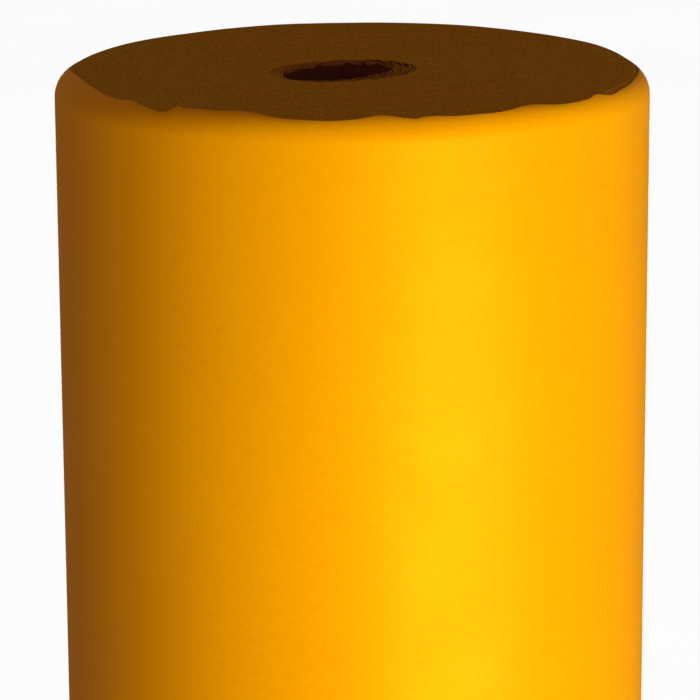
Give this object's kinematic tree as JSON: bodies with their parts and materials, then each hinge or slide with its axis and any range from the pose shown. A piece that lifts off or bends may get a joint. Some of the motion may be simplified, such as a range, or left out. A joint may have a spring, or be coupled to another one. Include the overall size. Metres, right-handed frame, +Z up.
{
  "type": "roll of sign vinyl",
  "caption": "Upright roll of yellow self-adhesive sign vinyl on its release liner, wound on a paper core, with a taped tail that peels back.",
  "frame": {"origin": "centre of the roll's bottom end, on the surface that it stands on", "axes": "+Z up the roll's axis, -Y to the front, +X to the right seen from the front; the tail is at the back"},
  "size_m": [0.15, 0.1499, 0.61],
  "materials": {
    "film": "satin yellow PVC film, smooth, with a soft wide highlight",
    "liner": "brown kraft release paper, siliconed side slightly shiny",
    "wound_edges": "stacked cut edges of film and liner, amber brown, fine concentric lines",
    "core_paper": "raw spiral-wound board, matt",
    "tape": "pale masking tape, finely creped"
  },
  "bodies": {
    "roll": {"core_inner_ply": "core_paper", "core_middle_ply": "core_paper", "core_outer_ply": "core_paper", "start_tape": "tape", "wound_web": "wound_edges", "inner_turns": "wound_edges", "last_turn_film": "film", "last_turn_liner": "liner"},
    "tail": {"tail_film": "film", "tail_liner": "liner", "closing_tape_bottom": "tape", "closing_tape_middle": "tape", "closing_tape_top": "tape"}
  },
  "joints": [
    {"name": "tail_peel", "type": "hinge", "parent": "roll", "child": "tail", "pos_m": [0.02565, 0.07048, 0.305], "axis": [0, 0, -1], "range_deg": [0, 120], "stiffness_Nm_per_rad": 0.04}
  ]
}
